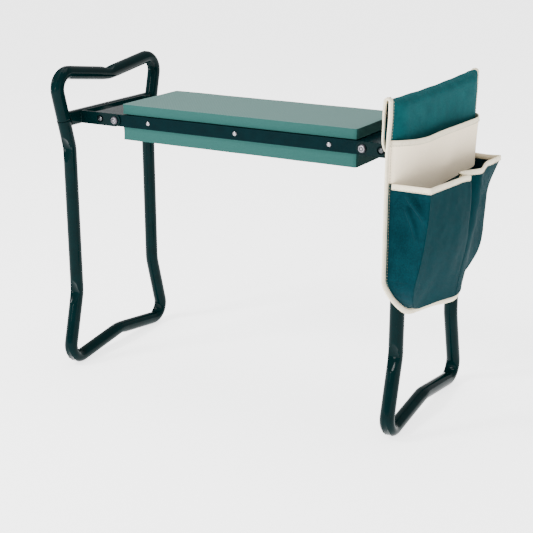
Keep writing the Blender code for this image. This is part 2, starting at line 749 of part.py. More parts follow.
def build_panel_binding(drape, origin):
    """Tape folded over the panel's whole edge."""
    run = panel_outline(drape, BINDING_WIDTH / 2)
    spine = []
    count = len(run)
    for i, (point, normal) in enumerate(run):
        along = (run[(i + 1) % count][0] - run[i - 1][0]).normalized()
        sideways = along.cross(normal).normalized()
        spine.append((point, normal, sideways))
    return band("bag_panel_binding", spine, BINDING_WIDTH, BINDING_THICKNESS, CREAM, origin, True)


def mid_pocket_top(drape, y):
    share = (y + BAG_HALF_WIDTH) / (2 * BAG_HALF_WIDTH)
    return drape.top - MID_POCKET_TOP - MID_POCKET_SAG * share


def mid_pocket_point(drape, y, z):
    """Cream pocket sheet: flat on the panel below, pulled open at its mouth."""
    half = BAG_HALF_WIDTH - BINDING_WIDTH - POCKET_EDGE_CLEAR
    top = mid_pocket_top(drape, y)
    low = drape.top - MID_POCKET_TOP - MID_POCKET_HEIGHT
    rise = max(0.0, min(1.0, (z - low) / (top - low)))
    open_by = MID_POCKET_BULGE * (1 - min(1.0, abs(y) / half) ** 4) * rise**1.5
    flat = PANEL_FACE_X + SHEET_CLEAR + POCKET_THICKNESS / 2
    return Vector((flat + curl(y) + open_by, y, z))


def build_mid_pocket(drape, origin):
    half = BAG_HALF_WIDTH - BINDING_WIDTH - POCKET_EDGE_CLEAR
    low = drape.top - MID_POCKET_TOP - MID_POCKET_HEIGHT
    lines = []
    spine = []
    for s in spaced(17):
        y = s * half
        top = mid_pocket_top(drape, y) - BINDING_WIDTH - GAP
        line = []
        for k in range(7):
            line.append((mid_pocket_point(drape, y, low + (top - low) * k / 6), Vector((1, 0, 0))))
        lines.append(line)
        middle = mid_pocket_point(drape, y, top + GAP + BINDING_WIDTH / 2)
        spine.append((middle + Vector((0.0004, 0, 0)), Vector((1, 0, 0)), Vector((0, 0, 1))))
    sheet("bag_mid_pocket", lines, POCKET_THICKNESS, CREAM, origin)
    return band("bag_mid_pocket_binding", spine, BINDING_WIDTH, POCKET_THICKNESS * 1.3, CREAM, origin)


def pocket_top(drape, y):
    share = (y + BAG_HALF_WIDTH) / (2 * BAG_HALF_WIDTH)
    return drape.top - POCKET_TOP - POCKET_SAG * share


def pocket_base(drape, z):
    """Where the gusset leaves the panel. It clears the cream pocket higher up."""
    start = drape.top - MID_POCKET_TOP - MID_POCKET_HEIGHT - 0.045
    return PANEL_FACE_X + SHEET_CLEAR + (POCKET_THICKNESS + SHEET_CLEAR) * ease((z - start) / 0.025)


def pocket_front_x(drape, y, z):
    """Front of the lower pocket: deep at its front end above, shallow below and at its back end."""
    half = BAG_HALF_WIDTH - POCKET_INSET
    fall = max(0.0, min(1.0, (drape.top - POCKET_TOP - z) / (BAG_DROP - POCKET_TOP)))
    side = (1 - 0.82 * fall**1.9) * (1 - 0.9 * fall**8)
    side *= 1 - POCKET_TAPER * ease(y / 0.140) * (0.45 + 0.55 * ease(fall / 0.4))
    side = POCKET_LEAST + (POCKET_DEPTH - POCKET_LEAST) * side
    full = POCKET_BULGE * max(0.0, 1 - (y / half) ** 2) * max(0.0, math.sin(math.pi * fall))
    drawn = POCKET_DRAW * math.exp(-((y / 0.030) ** 2)) * (1 - fall) ** 2
    return PANEL_FACE_X + bow(y, z, drape.bottom) + side + full - drawn


def pocket_grid(drape):
    """(y, z) lines up the lower pocket's front, from its bottom edge to below its tape."""
    lines = []
    for where in stations():
        y = across(where, BAG_HALF_WIDTH, BAG_CORNER, POCKET_INSET)
        low = lower_edge(where, BAG_CORNER, drape.bottom, POCKET_INSET)
        top = pocket_top(drape, y) - BINDING_WIDTH - GAP
        lines.append([(y, low + (top - low) * k / 8) for k in range(9)])
    return lines


def build_pocket_front(drape, origin):
    out = Vector((1, 0, 0))
    lines = []
    for line in pocket_grid(drape):
        lines.append([(Vector((pocket_front_x(drape, y, z), y, z)), out) for y, z in line])
    return sheet("bag_pocket_front", lines, POCKET_THICKNESS, CANVAS, origin)


def build_gusset(drape, origin):
    """Side and bottom strip that joins the lower pocket's front to the panel."""
    grid = pocket_grid(drape)
    run = grid[0][:0:-1] + [line[0] for line in grid] + grid[-1][1:]
    rings = []
    for i, (y, z) in enumerate(run):
        before = Vector(run[max(0, i - 1)])
        after = Vector(run[min(len(run) - 1, i + 1)])
        along = (after - before).normalized()
        far = (y - along.y * POCKET_THICKNESS, z + along.x * POCKET_THICKNESS)
        outer = min(pocket_front_x(drape, y, z), pocket_front_x(drape, *far))
        outer -= POCKET_THICKNESS / 2 + SHEET_CLEAR
        near_base = pocket_base(drape, z) + curl(y) + bow(y, z, drape.bottom)
        far_base = pocket_base(drape, far[1]) + curl(far[0]) + bow(*far, drape.bottom)
        rings.append([(near_base, y, z), (outer, y, z), (outer, *far), (far_base, *far)])
    return loft("bag_pocket_gusset", rings, CANVAS, origin)


def build_pocket_binding(drape, origin):
    """Tape along the lower pocket's mouth: out along one gusset, across, and back."""
    half = BAG_HALF_WIDTH - POCKET_INSET - POCKET_THICKNESS / 2
    returns = []
    for side in (-1, 1):
        y = side * half
        z = pocket_top(drape, y) - BINDING_WIDTH / 2
        base = pocket_base(drape, z) + curl(y) + GAP
        depth = pocket_front_x(drape, y, z) - base
        returns.append([(base + depth * k / 4, y, z) for k in range(4)])
    points = returns[0]
    for s in spaced(15):
        y = s * half
        z = pocket_top(drape, y) - BINDING_WIDTH / 2
        points.append((pocket_front_x(drape, y, z), y, z))
    points += returns[1][::-1]
    spine = []
    for i, point in enumerate(points):
        along = Vector(points[min(len(points) - 1, i + 1)]) - Vector(points[max(0, i - 1)])
        facing = Vector((along.y, -along.x, 0)).normalized()
        spine.append((Vector(point), facing, Vector((0, 0, 1))))
    return band("bag_pocket_binding", spine, BINDING_WIDTH, POCKET_THICKNESS * 1.4, CREAM, origin)


def build_bag():
    drape = Drape()
    origin = (PIVOT_X, 0.0, PIVOT_HEIGHT)
    build_bag_panel(drape, origin)
    build_panel_binding(drape, origin)
    build_mid_pocket(drape, origin)
    build_gusset(drape, origin)
    build_pocket_front(drape, origin)
    build_pocket_binding(drape, origin)


# ---------------------------------------------------------------- whole object
def build_seat():
    build_rail("front_rail", -1)
    build_rail("back_rail", 1)
    build_deck()
    build_pad("top_pad", RAIL_TOP + GAP, RAIL_TOP + GAP + TOP_PAD_THICKNESS)
    build_pad("bottom_pad", RAIL_BOTTOM - GAP - BOTTOM_PAD_THICKNESS, RAIL_BOTTOM - GAP)
    for side, where in ((-1, "front"), (1, "back")):
        for x, place in zip(rivet_stations(), ("left", "middle", "right")):
            build_rivet("rivet_%s_%s" % (where, place), x, side)


def build_ends():
    for end, label in ((-1, "left"), (1, "right")):
        build_tubes(end, label)
        build_cross_member(end, label)
        build_bracket(end, label)
        for side, where in ((-1, "front"), (1, "back")):
            place = "%s_%s" % (where, label)
            build_bolt("pivot_bolt_" + place, end * PIVOT_X, side)
            build_nut("pivot_nut_" + place, end * PIVOT_X, side)
            x = end * (PIVOT_X + BUTTON_PAST_PIVOT)
            build_button("lock_button_" + place, x, side)
            build_spring("button_spring_" + place, x, side)


clear_scene()
build_seat()
build_ends()
build_bag()
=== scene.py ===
"""Looks of the folding garden kneeler: bent painted tube, foam pads, plated fixings and a canvas tool bag."""

import json
import math

import bmesh
import bpy
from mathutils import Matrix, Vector, noise

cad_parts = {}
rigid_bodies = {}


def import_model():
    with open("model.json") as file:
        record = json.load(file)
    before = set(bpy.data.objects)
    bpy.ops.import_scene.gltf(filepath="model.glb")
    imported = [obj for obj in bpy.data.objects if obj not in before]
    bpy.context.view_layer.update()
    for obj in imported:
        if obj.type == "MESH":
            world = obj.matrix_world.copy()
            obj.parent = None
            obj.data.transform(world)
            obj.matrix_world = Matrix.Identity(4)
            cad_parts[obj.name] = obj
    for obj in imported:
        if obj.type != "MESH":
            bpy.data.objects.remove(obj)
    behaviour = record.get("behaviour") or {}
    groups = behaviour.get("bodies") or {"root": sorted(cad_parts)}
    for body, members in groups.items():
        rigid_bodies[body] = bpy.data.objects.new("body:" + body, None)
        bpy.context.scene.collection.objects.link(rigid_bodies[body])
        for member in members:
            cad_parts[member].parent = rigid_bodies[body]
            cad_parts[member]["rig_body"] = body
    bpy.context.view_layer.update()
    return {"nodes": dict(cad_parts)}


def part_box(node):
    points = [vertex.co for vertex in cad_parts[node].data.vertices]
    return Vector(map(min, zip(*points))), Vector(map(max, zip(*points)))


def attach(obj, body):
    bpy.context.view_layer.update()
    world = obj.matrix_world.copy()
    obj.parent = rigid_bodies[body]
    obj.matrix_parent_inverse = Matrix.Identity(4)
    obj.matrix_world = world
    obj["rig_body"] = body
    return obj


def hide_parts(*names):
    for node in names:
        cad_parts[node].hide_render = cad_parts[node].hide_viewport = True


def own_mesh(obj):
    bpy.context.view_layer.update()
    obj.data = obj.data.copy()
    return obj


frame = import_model()
FINE = 2

# ------------------------------------------------------------------ places read from the frame
TUBE_LOW, TUBE_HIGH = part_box("right_leg_tube")
HANDLE_LOW, HANDLE_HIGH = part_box("right_handle_tube")
CROSS_LOW, CROSS_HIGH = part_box("right_cross_member")
TAPE_LOW, TAPE_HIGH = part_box("bag_panel_binding")
LEG_X = (TUBE_LOW.x + TUBE_HIGH.x) / 2
SEAM_Z = (TUBE_HIGH.z + HANDLE_LOW.z) / 2
PIVOT_Z = (CROSS_LOW.z + CROSS_HIGH.z) / 2
TUBE_R = 0.01075
RIB_PITCH = 0.0040
RIB_ANGLE = math.radians(38)


# ------------------------------------------------------------------ small helpers
def ease(share):
    """Smooth step from 0 to 1."""
    share = max(0.0, min(1.0, share))
    return share * share * (3 - 2 * share)


def drift(x, y, z, scale, seed=0.0):
    """Slow smooth noise, -1 to 1, at a size in metres."""
    return noise.noise(Vector((x / scale + seed, y / scale - seed * 0.7, z / scale + seed * 1.3)))


def turns(count):
    """Angles of a full turn in equal steps."""
    return [2 * math.pi * k / count for k in range(count)]


def make(name, verts, faces, look, sharp=38):
    """A smooth-shaded mesh object with its faces turned outward."""
    mesh = bpy.data.meshes.new(name)
    mesh.from_pydata([tuple(v) for v in verts], [], faces)
    work = bmesh.new()
    work.from_mesh(mesh)
    bmesh.ops.recalc_face_normals(work, faces=work.faces)
    work.to_mesh(mesh)
    work.free()
    mesh.polygons.foreach_set("use_smooth", [True] * len(mesh.polygons))
    mesh.set_sharp_from_angle(angle=math.radians(sharp))
    mesh.materials.append(look)
    thing = bpy.data.objects.new(name, mesh)
    bpy.context.scene.collection.objects.link(thing)
    return thing


def loft(name, rings, look, closed=False, sharp=38):
    """A skin over rings of points, joined end to end or with capped ends."""
    count = len(rings[0])
    verts = [v for ring in rings for v in ring]
    faces = []
    for i in range(len(rings) if closed else len(rings) - 1):
        a = i * count
        b = ((i + 1) % len(rings)) * count
        for k in range(count):
            m = (k + 1) % count
            faces.append((a + k, a + m, b + m, b + k))
    if not closed:
        faces.append(tuple(range(count)))
        faces.append(tuple(range(len(verts) - count, len(verts))))
    return make(name, verts, faces, look, sharp)


def cloth_sheet(name, lines, thickness, look):
    """Thin closed sheet through a grid of points, its normals taken from the grid itself."""
    rows = len(lines)
    cols = len(lines[0])
    offsets = []
    for i in range(rows):
        for k in range(cols):
            a = lines[min(rows - 1, i + 1)][k] - lines[max(0, i - 1)][k]
            b = lines[i][min(cols - 1, k + 1)] - lines[i][max(0, k - 1)]
            offsets.append(a.cross(b).normalized() * (thickness / 2))
    points = [p for line in lines for p in line]
    verts = [p + n for p, n in zip(points, offsets)] + [p - n for p, n in zip(points, offsets)]
    back = rows * cols
    faces = []
    for i in range(rows - 1):
        for k in range(cols - 1):
            a = i * cols + k
            faces.append((a, a + 1, a + cols + 1, a + cols))
            faces.append((back + a, back + a + cols, back + a + cols + 1, back + a + 1))
    rim = list(range(cols)) + [i * cols + cols - 1 for i in range(1, rows)]
    rim += [(rows - 1) * cols + k for k in range(cols - 2, -1, -1)]
    rim += [i * cols for i in range(rows - 2, 0, -1)]
    for a, b in zip(rim, rim[1:] + rim[:1]):
        faces.append((a, b, back + b, back + a))
    return make(name, verts, faces, look, 60)


def dressed(node, look, bevel, angle=30):
    """A CAD node with its edges softened, in its finished material."""
    work = bmesh.new()
    work.from_mesh(frame["nodes"][node].data)
    bmesh.ops.remove_doubles(work, verts=work.verts, dist=2e-6)
    bmesh.ops.dissolve_limit(work, angle_limit=math.radians(1.0), verts=work.verts, edges=work.edges)
    mesh = bpy.data.meshes.new(node + "_look")
    work.to_mesh(mesh)
    work.free()
    mesh.polygons.foreach_set("use_smooth", [True] * len(mesh.polygons))
    mesh.set_sharp_from_angle(angle=math.radians(28))
    mesh.materials.append(look)
    thing = bpy.data.objects.new(node + "_look", mesh)
    bpy.context.scene.collection.objects.link(thing)
    if bevel:
        step = thing.modifiers.new("soft_edges", "BEVEL")
        step.width = bevel
        step.segments = 3
        step.limit_method = "ANGLE"
        step.angle_limit = math.radians(angle)
    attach(thing, body_name(node))
    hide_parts(node)
    return thing


def body_name(node):
    """The body that a CAD node rides on."""
    return frame["nodes"][node]["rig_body"]


# ------------------------------------------------------------------ materials
class Look:
    """A Principled material built from a few procedural parts."""

    def __init__(self, name, colour, roughness, metallic=0.0, specular=0.5):
        self.mat = bpy.data.materials.new(name)
        self.mat.use_nodes = True
        self.nodes = self.mat.node_tree.nodes
        self.links = self.mat.node_tree.links
        self.shader = self.nodes["Principled BSDF"]
        self.shader.inputs["Base Color"].default_value = (*colour, 1.0)
        self.shader.inputs["Roughness"].default_value = roughness
        self.shader.inputs["Metallic"].default_value = metallic
        self.shader.inputs["Specular IOR Level"].default_value = specular
        self.where = self.nodes.new("ShaderNodeTexCoord").outputs["Object"]
        self.height = None

    def noise(self, scale, detail=2.0, stretch=None):
        tex = self.nodes.new("ShaderNodeTexNoise")
        tex.inputs["Scale"].default_value = scale
        tex.inputs["Detail"].default_value = detail
        self.links.new(self.mapped(stretch), tex.inputs["Vector"])
        return tex.outputs["Fac"]

    def mapped(self, stretch=None, turn=None):
        if stretch is None and turn is None:
            return self.where
        step = self.nodes.new("ShaderNodeMapping")
        step.inputs["Scale"].default_value = stretch or (1, 1, 1)
        step.inputs["Rotation"].default_value = turn or (0, 0, 0)
        self.links.new(self.where, step.inputs["Vector"])
        return step.outputs["Vector"]

    def wave(self, pitch, direction, turn=None):
        """Ribs a given pitch apart, in metres. At scale 1 the texture runs through 20 radians in a metre."""
        tex = self.nodes.new("ShaderNodeTexWave")
        tex.bands_direction = direction
        tex.wave_profile = "SIN"
        tex.inputs["Scale"].default_value = 2 * math.pi / 20 / pitch
        self.links.new(self.mapped(None, turn), tex.inputs["Vector"])
        return tex.outputs["Fac"]

    def sum(self, a, b, op="ADD"):
        """Two values, each a socket or a number, put through one Math node."""
        step = self.nodes.new("ShaderNodeMath")
        step.operation = op
        for slot, value in zip(step.inputs, (a, b)):
            if isinstance(value, (int, float)):
                slot.default_value = value
            else:
                self.links.new(value, slot)
        return step.outputs[0]

    def tint(self, fac, dark, light, low=0.3, high=0.7):
        """Base colour from dark to light as a factor goes from low to high."""
        ramp = self.nodes.new("ShaderNodeValToRGB")
        ramp.color_ramp.elements[0].position = low
        ramp.color_ramp.elements[1].position = high
        ramp.color_ramp.elements[0].color = (*dark, 1.0)
        ramp.color_ramp.elements[1].color = (*light, 1.0)
        self.links.new(fac, ramp.inputs["Fac"])
        self.links.new(ramp.outputs["Color"], self.shader.inputs["Base Color"])

    def rough(self, fac, low, high):
        """Roughness that follows a factor."""
        step = self.nodes.new("ShaderNodeMapRange")
        step.inputs["To Min"].default_value = low
        step.inputs["To Max"].default_value = high
        self.links.new(fac, step.inputs["Value"])
        self.links.new(step.outputs["Result"], self.shader.inputs["Roughness"])

    def bump(self, fac, distance, strength=1.0):
        """One more layer of relief, on top of those before it."""
        step = self.nodes.new("ShaderNodeBump")
        step.inputs["Distance"].default_value = distance
        step.inputs["Strength"].default_value = strength
        self.links.new(fac, step.inputs["Height"])
        if self.height is not None:
            self.links.new(self.height, step.inputs["Normal"])
        self.height = step.outputs["Normal"]
        self.links.new(self.height, self.shader.inputs["Normal"])


def paint_look(name, colour, roughness, specular):
    """Glossy dark paint with faint orange peel."""
    look = Look(name, colour, roughness, specular=specular)
    look.shader.inputs["IOR"].default_value = 1.22
    dark = tuple(c * 0.86 for c in colour)
    light = tuple(c * 1.12 for c in colour)
    look.tint(look.noise(60.0, 4.0), dark, light)
    look.rough(look.noise(180.0, 4.0), roughness * 0.8, roughness * 1.5)
    look.bump(look.noise(420.0, 1.0), 0.00010, 0.07)
    return look.mat


def shaded_foam_side_look():
    """Cut face of closed-cell foam, in a darker copy of the foam's colour: painted shade on the sides."""
    look = Look("foam_side_shaded", (0.072, 0.232, 0.190), 0.9, specular=0.25)
    # Dark tint: painted shade on the cut sides, which face away from the light above.
    look.tint(look.noise(900.0, 3.0), (0.0088, 0.0545, 0.048), (0.0138, 0.071, 0.0635), 0.25, 0.75)
    look.bump(look.noise(1100.0, 3.0), 0.0003, 0.5)
    look.bump(look.noise(90.0, 2.0), 0.0006, 0.3)
    return look.mat


def lit_foam_top_look():
    """Moulded face with a fine diagonal rib, in a lighter copy of the foam's colour: painted light from
    above, with painted shade in the rib troughs.
    """
    look = Look("foam_top_lit", (0.14, 0.29, 0.245), 0.8, specular=0.35)
    main = look.wave(RIB_PITCH, "X", (0, 0, RIB_ANGLE))
    cross = look.wave(RIB_PITCH, "X", (0, 0, -RIB_ANGLE))
    ribs = look.sum(look.sum(main, 0.72, "MULTIPLY"), look.sum(cross, 0.28, "MULTIPLY"))
    # Light tint is painted light from above; because it follows the ribs, it also darkens their troughs as
    # painted shade.
    look.tint(ribs, (0.054, 0.124, 0.112), (0.086, 0.160, 0.147), 0.15, 0.85)
    look.bump(ribs, 0.0005, 0.55)
    look.bump(look.noise(900.0, 3.0), 0.0003, 0.35)
    return look.mat


def canvas_look(name, colour, deep, pitch=0.0007, across="Y", sheen=0.008):
    """Plain-weave polyester: two sets of threads, cloudy colour, slight sheen."""
    look = Look(name, colour, 0.72, specular=0.02)
    look.shader.inputs["Sheen Weight"].default_value = sheen
    look.shader.inputs["Sheen Roughness"].default_value = 0.45
    warp = look.wave(pitch, across)
    weft = look.wave(pitch, "Z")
    weave = look.sum(warp, weft, "MULTIPLY")
    cloud = look.noise(55.0, 5.0)
    speck = look.noise(620.0, 2.0)
    mixed = look.sum(look.sum(weave, 0.22, "MULTIPLY"), look.sum(cloud, 0.30, "MULTIPLY"))
    mixed = look.sum(mixed, look.sum(speck, 0.55, "MULTIPLY"))
    look.tint(mixed, deep, colour, 0.32, 0.66)
    look.bump(weave, 0.00022, 0.55)
    look.bump(look.noise(240.0, 3.0), 0.0005, 0.25)
    return look.mat


def steel_look(name, colour, roughness):
    """Plated or bare steel with fine scuffs."""
    look = Look(name, colour, roughness, 1.0)
    look.rough(look.noise(700.0, 3.0), roughness * 0.7, roughness * 1.5)
    look.bump(look.noise(900.0, 2.0), 0.00008, 0.4)
    return look.mat


TUBE_PAINT = paint_look("tube_paint", (0.00001, 0.0072, 0.0078), 0.10, 0.16)
RAIL_PAINT = paint_look("rail_paint", (0.00002, 0.0070, 0.0086), 0.20, 0.09)
# Two copies of one foam: the ribbed face painted lighter (painted light), the sides darker (painted shade).
FOAM_SIDE_SHADED = shaded_foam_side_look()
FOAM_TOP_LIT = lit_foam_top_look()
GREEN = canvas_look("green_canvas", (0.0036, 0.069, 0.075), (0.0010, 0.038, 0.043))
# Darker copies of the panel's green canvas: painted shade on the lower pocket's front and on its side strips.
GREEN_FRONT_SHADED = canvas_look("green_pocket_shaded", (0.0002, 0.0258, 0.0315), (0.0001, 0.0145, 0.0187), sheen=0.003)
GREEN_SIDE_SHADED = canvas_look("green_gusset_shaded", (0.0025, 0.0285, 0.0365), (0.0009, 0.0120, 0.0165), across="X")
CREAM = canvas_look("cream_canvas", (0.98, 0.85, 0.64), (0.92, 0.785, 0.58))
TAPE = canvas_look("cream_tape", (0.90, 0.81, 0.62), (0.66, 0.58, 0.42), 0.0009)
THREAD = canvas_look("cream_thread", (0.36, 0.31, 0.22), (0.24, 0.20, 0.13), 0.0004)
PLATED = steel_look("plated_steel", (0.26, 0.25, 0.27), 0.30)
BOLT = steel_look("bolt_steel", (0.070, 0.064, 0.076), 0.42)
# Near-black steel laid in the bolt crowns' grooves: painted shade.
GROOVE_SHADE = steel_look("groove_shade_steel", (0.020, 0.019, 0.022), 0.45)
BUTTON = steel_look("button_steel", (0.050, 0.052, 0.055), 0.26)
SPRING = steel_look("spring_steel", (0.42, 0.42, 0.44), 0.30)


# ------------------------------------------------------------------ bent tubes with crushed bends
class BentPath:
    """Straight runs joined by arcs in the plane of a leg frame. Points are (y, z)."""

    def __init__(self, points, radii):
        self.runs = []
        self.bends = []
        here = Vector(points[0])
        travelled = 0.0
        for i in range(1, len(points) - 1):
            a = (Vector(points[i]) - Vector(points[i - 1])).normalized()
            b = (Vector(points[i + 1]) - Vector(points[i])).normalized()
            turn = math.atan2(a.x * b.y - a.y * b.x, a.dot(b))
            setback = radii[i - 1] * math.tan(abs(turn) / 2)
            start = Vector(points[i]) - a * setback
            straight = (start - here).length
            self.runs.append((travelled, straight, here.copy(), a.copy(), 0.0))
            travelled += straight
            arc = radii[i - 1] * abs(turn)
            self.runs.append((travelled, arc, start.copy(), a.copy(), math.copysign(radii[i - 1], turn)))
            self.bends.append((travelled + arc / 2, arc / 2, math.copysign(1.0, turn)))
            travelled += arc
            here = Vector(points[i]) + b * setback
        a = (Vector(points[-1]) - here).normalized()
        straight = (Vector(points[-1]) - here).length
        self.runs.append((travelled, straight, here.copy(), a.copy(), 0.0))
        self.length = travelled + straight

    def at(self, s):
        """Point and direction at a length along the path."""
        for start, length, p, d, r in self.runs:
            if s <= start + length + 1e-9:
                break
        t = s - start
        if r == 0.0:
            return p + d * t, d
        side = Vector((-d.y, d.x))
        centre = p + side * r
        angle = t / r
        point = centre - side * (r * math.cos(angle)) + d * (r * math.sin(angle))
        return point, d * math.cos(angle) + side * math.sin(angle)


def pressed_ring(path, marks, s, x, sides, swell):
    """One ring of the tube. A mark presses a shallow spoon with a clear rim into the side of a bend."""
    point, along = path.at(s)
    inside = Vector((-along.y, along.x))
    ring = []
    for k in range(sides):
        a = 2 * math.pi * k / sides
        u = TUBE_R * math.cos(a)
        v = TUBE_R * math.sin(a)
        for middle, half, side, depth, flat, reach, outer in marks:
            near = ease(1 - abs(s - middle) / (half + reach))
            u *= 1 - flat * near
            v *= 1 + 0.55 * flat * near
            t = abs(s - middle) / (half * 0.5 + reach)
            if t >= 1:
                continue
            crown = TUBE_R * (1 - flat * near)
            for way, deep in ((side, depth), (-side, outer)):
                level = crown - deep * (1 - t ** 1.15)
                if deep <= 0 or way * u <= level:
                    continue
                wide = math.sqrt(max(1e-9, 1 - (level / crown) ** 2)) * TUBE_R * (1 + 0.55 * flat * near)
                dish = max(0.0, 1 - (v / wide) ** 2)
                lip = 0.0009 * math.exp(-((dish - 0.10) / 0.10) ** 2) * (1 - t)
                u = way * (level - 0.28 * deep * dish * (1 - t * t) + lip)
        u += swell * math.cos(a)
        v += swell * math.sin(a)
        place = point + inside * u
        ring.append(Vector((x + v, place.x, place.y)))
    return ring


def pressed_tube(name, path, dents, x, look, seam_swell):
    """A tube along a path with a pressed mark at each bend, slightly wider or narrower at its seam ends."""
    marks = []
    for (middle, half, side), (depth, flat, reach, outer) in zip(path.bends, dents):
        marks.append((middle, half, side, depth, flat, reach, outer))
    sides = 36 * FINE
    step = 0.0012 if FINE == 2 else 0.003
    places = []
    s = 0.0
    while s < path.length:
        places.append(s)
        busy = any(abs(s - middle) < half + reach + 0.004 for middle, half, _, _, _, reach, _ in marks)
        busy = busy or s < 0.012 or s > path.length - 0.012
        s += step if busy else 0.008
    places.append(path.length)
    rings = []
    for s in places:
        end = min(s, path.length - s)
        swell = seam_swell * ease(1 - end / (0.009 if seam_swell > 0 else 0.0015))
        rings.append(pressed_ring(path, marks, s, x, sides, swell))
    return loft(name, rings, look, sharp=24)


WAIST = 0.1064
FLARE = 0.1372
UPPER_Z = PIVOT_Z - 0.046
LOWER_Z = 0.1232
CORNER_Z = PIVOT_Z + 0.0764
VEE = 0.0185
SEAM_Y = WAIST + (FLARE - WAIST) * (SEAM_Z - UPPER_Z) / (CORNER_Z - UPPER_Z)
FOOT_Z = 0.0036
FLOOR_GAP = 0.0008
SEAM_GAP = 0.0001
WAIST_BEND = 0.07
CORNER_BEND = 0.024
VEE_BEND = 0.05
# Marks: depth on the inner side, share flattened, reach past the bend, depth on the outer side.
WAIST_MARK = (0.0060, 0.03, 0.0175, 0.0)
CORNER_MARK = (0.0048, 0.10, 0.009, 0.0014)
VEE_MARK = (0.0044, 0.06, 0.0150, 0.0)


def mirrored(points):
    """Half of an outline, from its end to its middle point, made whole."""
    return points + [(-y, z) for y, z in reversed(points[:-1])]


def leg_piece(node, path, dents, x, seam_swell):
    """A pressed tube in place of a CAD tube."""
    tube = pressed_tube(node + "_look", path, dents, x, TUBE_PAINT, seam_swell)
    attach(tube, body_name(node))
    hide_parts(node)


def build_leg(side, label):
    """The long lower tube, set so that its corners just clear the floor, and the handle tube above it."""
    x = side * LEG_X
    points = [(-SEAM_Y, SEAM_Z - SEAM_GAP), (-WAIST, UPPER_Z), (-WAIST, LOWER_Z), (-FLARE, FOOT_Z)]
    points = mirrored(points + [(0.0, FOOT_Z + VEE)])
    radii = [WAIST_BEND, WAIST_BEND, CORNER_BEND, VEE_BEND, CORNER_BEND, WAIST_BEND, WAIST_BEND]
    dents = [WAIST_MARK, WAIST_MARK, CORNER_MARK, VEE_MARK, CORNER_MARK, WAIST_MARK, WAIST_MARK]
    path = BentPath(points, radii)
    low = min(path.at(path.length * k / 600)[0].y for k in range(601)) - TUBE_R * (1 - CORNER_MARK[1])
    points = [(y, z - low + FLOOR_GAP if z < 0.06 else z) for y, z in points]
    leg_piece(label + "_leg_tube", BentPath(points, radii), dents, x, 0.0004)
    points = mirrored([(-SEAM_Y, SEAM_Z + SEAM_GAP), (-FLARE, CORNER_Z), (0.0, CORNER_Z - VEE)])
    path = BentPath(points, [CORNER_BEND, VEE_BEND, CORNER_BEND])
    leg_piece(label + "_handle_tube", path, [CORNER_MARK, VEE_MARK, CORNER_MARK], x, -0.0006)


def weld_bead(name, start, end, radius, body, seed):
    """A rippled run of weld metal under the paint."""
    rings = []
    count = 22
    along = (end - start).normalized()
    side = along.cross(Vector((0.3, 0.5, 0.8))).normalized()
    up = along.cross(side)
    for k in range(count + 1):
        t = k / count
        r = radius * (0.25 + 0.75 * math.sin(math.pi * t) ** 0.4) * (1 + 0.16 * math.sin(t * 44 + seed))
        middle = start.lerp(end, t) + side * (0.0003 * math.sin(t * 17 + seed))
        rings.append([middle + side * (r * math.cos(a)) + up * (r * math.sin(a)) for a in turns(10)])
    bead = loft(name, rings, TUBE_PAINT, sharp=80)
    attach(bead, body)


def build_welds(side, label):
    """Beads where a cross member meets its two legs and where its bracket stands against it."""
    body = body_name(label + "_cross_member")
    low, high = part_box(label + "_cross_member")
    face = low.x if side > 0 else high.x
    blow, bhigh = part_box(label + "_bracket")
    for where in (-1, 1):
        y = where * (high.y - 0.0035)
        for n, z in enumerate((low.z + 0.0015, high.z - 0.0015)):
            lean = where * 0.0055 if n else 0.0
            a = Vector((face, y + lean - where * 0.001, z))
            b = Vector((face + side * 0.011, y + lean - where * 0.001, z))
            weld_bead("%s_weld_end_%d_%d" % (label, where + 1, n), a, b, 0.0019, body, n + where)
        web = bhigh.x if side > 0 else blow.x
        a = Vector((web + side * 0.0002, where * (bhigh.y + 0.0006), blow.z + 0.002))
        b = Vector((web + side * 0.0002, where * (bhigh.y + 0.0006), bhigh.z - 0.002))
        weld_bead("%s_weld_web_%d" % (label, where + 1), a, b, 0.0021, body, 2 + where)


def build_leg_frames():
    """Both leg frames: two tubes, a cross member with its bracket, and the welds."""
    for side, label in ((-1, "left"), (1, "right")):
        build_leg(side, label)
        build_welds(side, label)
        dressed(label + "_cross_member", TUBE_PAINT, 0.0008, 50)
        dressed(label + "_bracket", TUBE_PAINT, 0.0005, 50)


# ------------------------------------------------------------------ seat frame, pads and fixings
PAD_ROUND = 0.0030
# Radii of the crown's groove ring, whose faces get the near-black steel as painted shade.
GROOVE_SHADE_INNER = 0.0019
GROOVE_SHADE_OUTER = 0.0035


def build_seat_frame():
    """The two rails and the folded deck."""
    for node, soft in (("front_rail", 0.0011), ("back_rail", 0.0011), ("deck_pan", 0.0007)):
        dressed(node, RAIL_PAINT, soft, 50)


